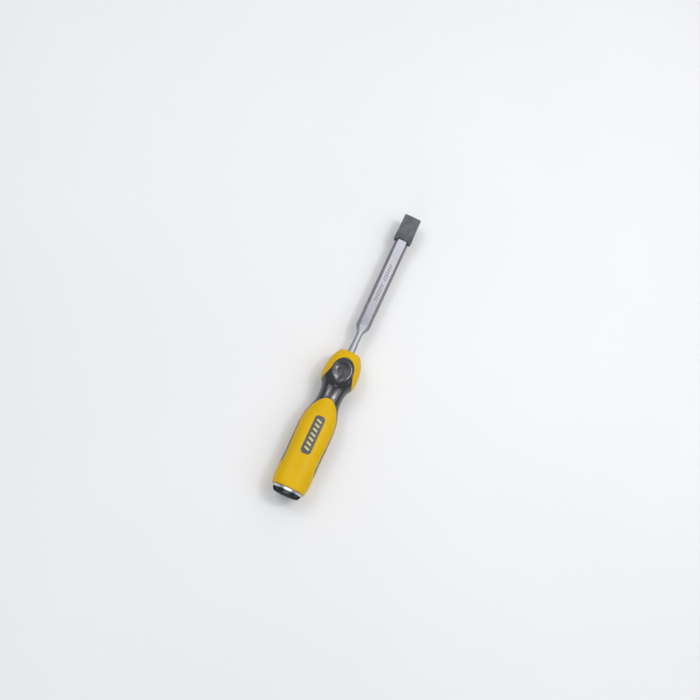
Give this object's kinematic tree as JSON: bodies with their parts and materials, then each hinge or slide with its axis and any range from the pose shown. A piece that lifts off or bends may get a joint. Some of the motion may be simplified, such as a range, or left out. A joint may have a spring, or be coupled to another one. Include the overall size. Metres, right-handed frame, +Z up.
{
  "type": "bench chisel",
  "caption": "Bevel-edge bench chisel with a two-material moulded handle, a steel strike cap and a push-on blade guard.",
  "frame": {"origin": "bottom centre of the whole tool's box, on the bench that the tool lies on", "axes": "+X from the strike cap to the cutting edge, +Y across the tool, +Z up, bevel side of the blade up and its flat back down"},
  "size_m": [0.2648, 0.03, 0.0276],
  "materials": {
    "tool_steel": "ground along its length",
    "hard_plastic": "satin gloss, opaque yellow",
    "soft_grip": "smooth soft-touch, near black",
    "label": "dark grey with raised yellow bars",
    "polished_steel": "polished, turned",
    "guard_plastic": "dark grey, slightly translucent"
  },
  "bodies": {
    "chisel": {"blade": "tool_steel", "handle_core": "hard_plastic", "grip_overmould": "soft_grip", "label_inlay_top": "label", "label_inlay_bottom": "label", "strike_cap": "polished_steel"},
    "guard": {"blade_guard": "guard_plastic"}
  },
  "joints": [
    {"name": "guard_slide", "type": "slide", "parent": "chisel", "child": "guard", "axis": [1, 0, 0], "range_m": [0, 0.028]}
  ]
}
